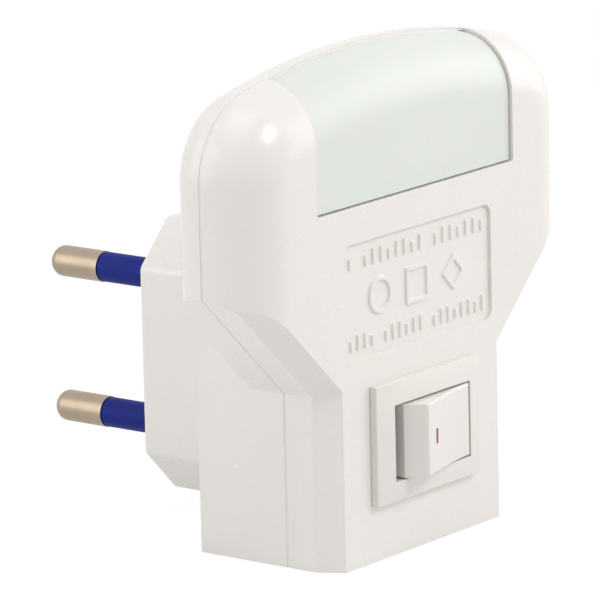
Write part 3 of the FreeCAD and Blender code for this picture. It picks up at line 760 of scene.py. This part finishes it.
@dataclass
class Casing:
    """The two white halves, the frosted window between them and the tongue in their joint."""

    front_edge_mm: float = 0.1
    back_edge_mm: float = 0.045
    lens_edge_mm: float = 0.02
    window_half_mm: float = 20.0
    window_foot_mm: float = 24.0
    joint_back_mm: float = -31.05
    joint_width_mm: float = 0.25
    # How near to the joint's plane, or to the window's side, a point counts as on it
    joint_reach_mm: float = 0.002
    side_reach_mm: float = 0.01
    # A face whose normal points less than this to the back or the front is a wall
    wall_lean: float = 0.5
    tongue_slack_mm: float = 0.01
    tongue_depth_mm: float = 0.07
    tongue_wall_mm: float = 0.3
    tongue_angle: float = 30.0

    def build(self) -> list[bpy.types.Object]:
        """Builds and dresses the casing.

        Returns:
            The front, the back, the lens and the tongue in the joint.
        """
        white = CASING_ABS.material()
        front = rounded_copy("front_shell", "casing_front", Body.CASING, self.front_edge_mm)
        back = rounded_copy("rear_cover", "casing_back", Body.CASING, self.back_edge_mm)
        lens = rounded_copy("diffuser_lens", "frosted_window", Body.CASING, self.lens_edge_mm)
        self.keep_window_sides_crisp(front)
        wear(front, white)
        wear(back, white)
        wear(lens, FROSTED_PC.material())
        return [front, back, lens, wear(self.tongue(), white)]

    def is_on_joint(self, edge: bmesh.types.BMEdge) -> bool:
        """Says whether an edge lies in the plane where the back half meets the joint."""
        joint, reach = self.joint_back_mm * MM, self.joint_reach_mm * MM
        return all(abs(vert.co.y - joint) <= reach for vert in edge.verts)

    def joint_outline(self, mesh: bmesh.types.BMesh) -> dict[bmesh.types.BMEdge, Vector]:
        """Finds the back half's outer edges along the joint, apart from those under the lens.

        Args:
            mesh: The back half.

        Returns:
            Each edge, with the outward direction of the wall beside it.
        """
        outline = {}
        for edge in mesh.edges:
            if not self.is_on_joint(edge):
                continue
            middle = (edge.verts[0].co + edge.verts[1].co) / 2
            walls = [face.normal for face in edge.link_faces if abs(face.normal.y) < self.wall_lean]
            under_lens = abs(middle.x) < self.window_half_mm * MM and middle.z > self.window_foot_mm * MM
            if under_lens or len(walls) != 1 or not edge.is_convex:
                continue
            if walls[0].dot(middle - Vector((0, middle.y, 0))) > 0:
                outline[edge] = Vector((walls[0].x, 0, walls[0].z)).normalized()
        return outline

    def tongue(self) -> bpy.types.Object:
        """Makes the tongue that nearly fills the joint, so that it shows as a shallow line.

        Returns:
            The tongue.
        """
        mesh = cad_mesh("rear_cover")
        merge_points(mesh)
        outline = self.joint_outline(mesh)
        outward: dict[bmesh.types.BMVert, Vector] = {}
        for edge, direction in outline.items():
            for vert in edge.verts:
                outward[vert] = outward.get(vert, Vector()) + direction
        bmesh.ops.delete(mesh, geom=mesh.faces[:], context="FACES_ONLY")
        bmesh.ops.delete(mesh, geom=[edge for edge in mesh.edges if edge not in outline], context="EDGES")
        bmesh.ops.delete(mesh, geom=[vert for vert in mesh.verts if vert not in outward], context="VERTS")
        for vert, direction in outward.items():
            vert.co -= direction.normalized() * self.tongue_depth_mm * MM
            vert.co.y -= self.tongue_slack_mm * MM
        wall = bmesh.ops.extrude_edge_only(mesh, edges=mesh.edges[:])["geom"]
        moved = [part for part in wall if isinstance(part, bmesh.types.BMVert)]
        width = self.joint_width_mm - 2 * self.tongue_slack_mm
        bmesh.ops.translate(mesh, verts=moved, vec=(0, -width * MM, 0))
        bmesh.ops.recalc_face_normals(mesh, faces=mesh.faces[:])
        bmesh.ops.solidify(mesh, geom=mesh.faces[:], thickness=self.tongue_wall_mm * MM)
        bmesh.ops.recalc_face_normals(mesh, faces=mesh.faces[:])
        piece = new_piece("casing_tongue", mesh, Body.CASING)
        shade_by_angle(piece, self.tongue_angle)
        return piece

    def keep_window_sides_crisp(self, front: bpy.types.Object) -> None:
        """Leaves the window's two curved sides unrounded, as a mould's insert does.

        Args:
            front: The front half.
        """
        mesh = bmesh.new()
        mesh.from_mesh(front.data)
        weight = mesh.edges.layers.float["bevel_weight_edge"]
        side, reach = self.window_half_mm * MM, self.side_reach_mm * MM
        for edge in mesh.edges:
            if all(abs(abs(vert.co.x) - side) < reach for vert in edge.verts):
                edge[weight] = 0.0
        mesh.to_mesh(front.data)
        mesh.free()


@dataclass
class RockerSwitch:
    """The bevelled frame, the rocker and the ink mark on its raised end."""

    frame_edge_mm: float = 0.1
    rocker_edge_mm: float = 0.07
    mark_length_mm: float = 2.0
    mark_width_mm: float = 0.62
    mark_thickness_mm: float = 0.02
    mark_across_mm: float = -1.6
    mark_height_mm: float = -5.15
    # The share of the mark's width that each round corner takes, and its number of faces
    corner_share: float = 0.45
    corner_faces: int = 6
    mark_angle: float = 40.0
    # A place well in front of the rocker, from which the mark's own place is sought
    sight_mm: float = -60.0

    def build(self) -> list[bpy.types.Object]:
        """Builds and dresses the switch.

        Returns:
            The frame, the rocker and its mark.
        """
        white = SWITCH_PC.material()
        surround = rounded_copy("switch_frame", "switch_surround", Body.CASING, self.frame_edge_mm)
        rocker = rounded_copy("switch_rocker", "switch_key", Body.ROCKER, self.rocker_edge_mm)
        wear(surround, white)
        wear(rocker, white)
        return [surround, rocker, self.mark()]

    def mark(self) -> bpy.types.Object:
        """Makes the on mark: a short bar of ink with round corners, a hair proud of the rocker.

        Returns:
            The mark.
        """
        mesh = self.bar()
        place, outward = self.mark_place()
        lean = Vector((0, -1, 0)).rotation_difference(outward).to_matrix()
        bmesh.ops.rotate(mesh, verts=mesh.verts, cent=(0, 0, 0), matrix=lean)
        bmesh.ops.translate(mesh, vec=place, verts=mesh.verts)
        piece = new_piece("on_mark", mesh, Body.ROCKER)
        shade_by_angle(piece, self.mark_angle)
        return wear(piece, MARK_INK.material())

    def bar(self) -> bmesh.types.BMesh:
        """Shapes the mark at the origin, facing the front.

        Returns:
            The mark's mesh.
        """
        mesh = bmesh.new()
        bmesh.ops.create_cube(mesh, size=1.0)
        size = (self.mark_width_mm * MM, self.mark_thickness_mm * MM, self.mark_length_mm * MM)
        bmesh.ops.scale(mesh, vec=size, verts=mesh.verts)
        corners = [edge for edge in mesh.edges if abs((edge.verts[0].co - edge.verts[1].co).y) > size[1] / 2]
        bmesh.ops.bevel(
            mesh,
            geom=corners,
            offset=self.mark_width_mm * self.corner_share * MM,
            affect="EDGES",
            segments=self.corner_faces,
            profile=0.5,
            material=-1,
        )
        return mesh

    def mark_place(self) -> tuple[Vector, Vector]:
        """Finds where the mark lies on the rocker's face.

        Returns:
            The place, and the face's outward direction there.
        """
        key = cad_mesh("switch_rocker")
        in_front = Vector((self.mark_across_mm * MM, self.sight_mm * MM, self.mark_height_mm * MM))
        place, outward, _, _ = BVHTree.FromBMesh(key).ray_cast(in_front, Vector((0, 1, 0)))
        key.free()
        return place, outward


@dataclass
class Plug:
    """The two pins with their blue sleeves."""

    pin_edge_mm: float = 0.12
    pin_angle: float = 50.0
    # The photo's sleeves are nearly as thick as the pins, and so thicker than the CAD's 3.65 mm
    sleeve_radius_mm: float = 1.92
    sleeve_root_mm: float = 1.8
    sleeve_bore_mm: float = 1.52
    sleeve_end_mm: float = 10.97
    sleeve_lip_mm: float = 0.12
    sleeve_angle: float = 40.0

    def build(self) -> list[bpy.types.Object]:
        """Builds and dresses both pins.

        Returns:
            The pins and their sleeves.
        """
        metal = PIN_NICKEL.material()
        blue = SLEEVE_NYLON.material()
        pieces = []
        for which in ("upper", "lower"):
            name = f"plug_pin_{which}"
            pin = rounded_copy(f"pin_{which}", name, Body.CASING, self.pin_edge_mm, self.pin_angle)
            low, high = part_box(f"pin_{which}")
            sleeve = self.sleeve(which, (low.z + high.z) / 2)
            pieces += [wear(pin, metal), wear(sleeve, blue)]
        return pieces

    def sleeve(self, which: str, height: float) -> bpy.types.Object:
        """Turns one sleeve, which swells a little outside the plug face.

        Args:
            which: Which pin it sits on.
            height: The pin's height, in metres.

        Returns:
            The sleeve.
        """
        bore, neck, radius = self.sleeve_bore_mm, self.sleeve_root_mm, self.sleeve_radius_mm
        end, lip = self.sleeve_end_mm, self.sleeve_lip_mm
        root = -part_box(f"sleeve_{which}")[0].y / MM
        profile = [(bore, -root), (neck, -root), (neck, 0.0)]
        profile += [(radius, lip), (radius, end - lip), (radius - lip, end), (bore, end)]
        piece = new_piece(f"plug_sleeve_{which}", lathe(profile, height), Body.CASING)
        soften(piece, lip / 2, self.sleeve_angle)
        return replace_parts(piece, f"sleeve_{which}")


@dataclass
class Insides:
    """The pieces inside the casing, which keep their CAD shapes and get their own finishes."""

    # Half a body's length, and how far its bands lie from its middle
    resistor_half_mm: float = 3.1
    resistor_bands_mm: tuple[float, ...] = (-1.7, -0.7, 0.3)
    resistor_colour: str = "#CDB184"
    surge_colours: tuple[str, ...] = ("#8A5A2B", "#C0392B", "#2B2B2B")
    bleed_colours: tuple[str, ...] = ("#2F6FB5", "#3C7A3A", "#D9A21B")
    # The same for a diode, and how far its leads reach from its middle
    diode_half_mm: float = 2.3
    diode_band_mm: float = 1.4
    diode_reach_mm: float = 4.2
    diode_colour: str = "#1E1E20"
    diode_band_colour: str = "#C9C9C9"
    lead_colour: str = "#B9BABA"

    def build(self) -> list[bpy.types.Object]:
        """Dresses the inner pieces.

        Returns:
            The inner pieces.
        """
        finishes: dict[str, tuple[Finish, str]] = {
            "pin_carrier": (CARRIER_NYLON, "carrier_grey"),
            "rocker_plunger": (PLUNGER_NYLON, "plunger_nylon"),
            "plunger_spring": (SPRING_STEEL, "spring_steel"),
            "contact_bridge": (CONTACT_BRASS, "contact_brass"),
            "terminal_common": (CONTACT_BRASS, "contact_brass"),
            "terminal_on": (CONTACT_BRASS, "contact_brass"),
            "circuit_board": (BOARD_LAMINATE, "board_laminate"),
            "leds": (LED_EPOXY, "led_epoxy"),
            "dropper_capacitor": (FILM_CASE, "film_yellow"),
            "smoothing_capacitor": (CAN_SLEEVE, "can_sleeve"),
            "live_wire": (WIRE_BROWN, "wire_brown"),
            "switched_wire": (WIRE_BLACK, "wire_black"),
            "neutral_wire": (WIRE_BLUE, "wire_blue"),
            "surge_resistor": (self.resistor("surge_resistor", self.surge_colours), "resistor_beige"),
            "bleed_resistor": (self.resistor("bleed_resistor", self.bleed_colours), "resistor_beige"),
            "rectifier_diodes": (self.diodes(), "diode_black"),
        }
        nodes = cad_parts
        return [wear(nodes[node], finish.material()) for node, (finish, slot) in finishes.items()]

    def resistor(self, node: str, colours: tuple[str, ...]) -> BandedBody:
        """Describes a resistor: dull beige lacquer with three painted bands, on tinned leads.

        Args:
            node: The resistor's node.
            colours: Its band colours.

        Returns:
            The finish.
        """
        low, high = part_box(node)
        return BandedBody(
            f"Lacquer, beige, {node}",
            self.resistor_colour,
            self.lead_colour,
            middles=((low.x + high.x) / 2,),
            half_length_mm=self.resistor_half_mm,
            bands=tuple(zip(self.resistor_bands_mm, colours)),
        )

    def diodes(self) -> BandedBody:
        """Describes the diodes: black moulded bodies with one pale band each, on tinned leads.

        Returns:
            The finish.
        """
        low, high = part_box("rectifier_diodes")
        return BandedBody(
            "Epoxy, black, moulded",
            self.diode_colour,
            self.lead_colour,
            middles=(low.x + self.diode_reach_mm * MM, high.x - self.diode_reach_mm * MM),
            half_length_mm=self.diode_half_mm,
            bands=((self.diode_band_mm, self.diode_band_colour),),
        )


@dataclass
class Fasteners:
    """The four screws in the back."""

    edge_mm: float = 0.08
    angle: float = 40.0

    def build(self) -> list[bpy.types.Object]:
        """Builds and dresses the screws, which are one piece."""
        screws = rounded_copy("housing_screws", "casing_screws", Body.CASING, self.edge_mm, self.angle)
        return [wear(screws, SCREW_ZINC.material())]


@dataclass(frozen=True)
class SoftLamp:
    """A square lamp: where it stands seen from the object, its power in watts and its side in metres."""

    name: str
    direction: tuple[float, float, float]
    watts: float
    size: float

    def hang(self, aim: Vector, distance: float) -> None:
        """Hangs the lamp so that it shines at a point.

        Args:
            aim: The point.
            distance: How far from it the lamp is, in metres.
        """
        data = bpy.data.lights.new(self.name, "AREA")
        data.energy = self.watts
        data.size = self.size
        lamp = add_object(self.name, data)
        away = Vector(self.direction).normalized()
        lamp.location = aim + away * distance
        lamp.rotation_mode = "QUATERNION"
        lamp.rotation_quaternion = (-away).to_track_quat("-Z", "Y")


@dataclass
class Studio:
    """A white floor and backdrop, soft lamps and the camera at the photograph's angle."""

    aim: tuple[float, float, float] = (-0.01093, -0.0287, 0.01206)
    azimuth: float = -52.126
    elevation: float = 12.842
    roll: float = -1.336
    distance: float = 0.730
    lens_mm: float = 360.0
    sensor_mm: float = 36.0
    nearest_seen: float = 0.01
    floor_size: float = 6.0
    floor_gap: float = 0.0001
    floor_colour: str = "#E6E6E6"
    seen_floor_colour: str = "#4D4D4D"
    seen_floor_strength: float = 0.95
    backdrop_colour: str = "#FFFFFF"
    backdrop_strength: float = 1.0
    world_strength: float = 0.5
    lamp_distance: float = 0.9
    lamps: tuple[SoftLamp, ...] = (
        SoftLamp("key", (0.19, -0.8, 0.8), watts=2.2, size=0.24),
        SoftLamp("right", (0.9, -0.5, 0.25), watts=2.5, size=0.7),
        SoftLamp("top", (-0.15, -0.05, 1.0), watts=1.8, size=0.6),
        SoftLamp("back_left", (-0.8, 0.55, 0.3), watts=3.0, size=0.8),
    )

    def build(self) -> None:
        """Builds the stage, the lamps and the camera."""
        self.floor()
        self.world()
        for lamp in self.lamps:
            lamp.hang(Vector(self.aim), self.lamp_distance)
        self.camera()

    def floor(self) -> None:
        """Lays the floor just under the stem."""
        mesh = bmesh.new()
        bmesh.ops.create_grid(mesh, x_segments=1, y_segments=1, size=self.floor_size / 2)
        bmesh.ops.translate(mesh, vec=(0, 0, cad_box[0].z - self.floor_gap), verts=mesh.verts)
        floor = add_mesh("floor", mesh)
        floor.data.materials.append(self.paper())

    def paper(self) -> bpy.types.Material:
        """Makes the floor's matt paper: seen white with the object's soft shadow, and clear from below.

        Returns:
            The material.
        """
        material = bpy.data.materials.new("Paper, white, matt")
        material.use_nodes = True
        tree = material.node_tree
        tree.nodes.clear()
        paper = add_node(tree, "ShaderNodeBsdfDiffuse", {"Color": linear(self.floor_colour)}).outputs["BSDF"]
        shaded = add_node(tree, "ShaderNodeBsdfDiffuse", {"Color": linear(self.seen_floor_colour)})
        glow = {"Color": linear(self.backdrop_colour), "Strength": self.seen_floor_strength}
        white = add_node(tree, "ShaderNodeEmission", glow)
        light = {0: shaded.outputs["BSDF"], 1: white.outputs["Emission"]}
        seen = add_node(tree, "ShaderNodeAddShader", light).outputs["Shader"]
        sides = {0: self.seen_rays(tree), 1: paper, 2: seen}
        surface = add_node(tree, "ShaderNodeMixShader", sides).outputs["Shader"]
        clear = add_node(tree, "ShaderNodeBsdfTransparent").outputs["BSDF"]
        under = add_node(tree, "ShaderNodeNewGeometry").outputs["Backfacing"]
        both = add_node(tree, "ShaderNodeMixShader", {0: under, 1: surface, 2: clear}).outputs["Shader"]
        add_node(tree, "ShaderNodeOutputMaterial", {"Surface": both})
        return material

    def seen_rays(self, tree: Tree) -> Socket:
        """Picks the rays that show the backdrop: the camera's, and those seen in metal or through the lens.

        Args:
            tree: The node tree.

        Returns:
            1 for such a ray and 0 for any other.
        """
        rays = add_node(tree, "ShaderNodeLightPath").outputs
        direct = {0: rays["Is Camera Ray"], 1: rays["Is Transmission Ray"]}
        straight = add_node(tree, "ShaderNodeMath", direct, operation="MAXIMUM").outputs["Value"]
        either = {0: straight, 1: rays["Is Glossy Ray"]}
        return add_node(tree, "ShaderNodeMath", either, operation="MAXIMUM").outputs["Value"]

    def world(self) -> None:
        """Lights the room evenly, and shows it white to the camera and in reflections."""
        world = bpy.data.worlds.new("Studio")
        bpy.context.scene.world = world
        world.use_nodes = True
        tree = world.node_tree
        tree.nodes.clear()
        shown = self.seen_rays(tree)
        colour = linear(self.backdrop_colour)
        soft = add_node(tree, "ShaderNodeBackground", {"Color": colour, "Strength": self.world_strength})
        white = add_node(tree, "ShaderNodeBackground", {"Color": colour, "Strength": self.backdrop_strength})
        sides = {0: shown, 1: soft.outputs["Background"], 2: white.outputs["Background"]}
        mix = add_node(tree, "ShaderNodeMixShader", sides)
        add_node(tree, "ShaderNodeOutputWorld", {"Surface": mix.outputs["Shader"]})

    def camera(self) -> None:
        """Stands the camera at the photograph's angle and distance."""
        turn, rise, roll = (math.radians(angle) for angle in (self.azimuth, self.elevation, self.roll))
        back = Vector((math.sin(turn) * math.cos(rise), -math.cos(turn) * math.cos(rise), math.sin(rise)))
        right = Vector((math.cos(turn), math.sin(turn), 0))
        upward = back.cross(right)
        across = right * math.cos(roll) + upward * math.sin(roll)
        upright = upward * math.cos(roll) - right * math.sin(roll)
        data = bpy.data.cameras.new("camera")
        data.sensor_width = self.sensor_mm
        data.lens = self.lens_mm
        data.clip_start = self.nearest_seen
        camera = add_object("camera", data)
        pose = Matrix((across, upright, back)).transposed().to_4x4()
        pose.translation = Vector(self.aim) + back * self.distance
        camera.matrix_world = pose
        bpy.context.scene.camera = camera


def main() -> None:
    """Builds every sub-assembly in order, then the studio."""
    bpy.context.scene.view_settings.view_transform = "Standard"
    for assembly in (Casing(), RockerSwitch(), Plug(), Fasteners(), Insides()):
        for piece in assembly.build():
            log.info("%s: %s with %d faces", type(assembly).__name__, piece.name, len(piece.data.polygons))
    Studio().build()


if __name__ == "__main__":
    main()
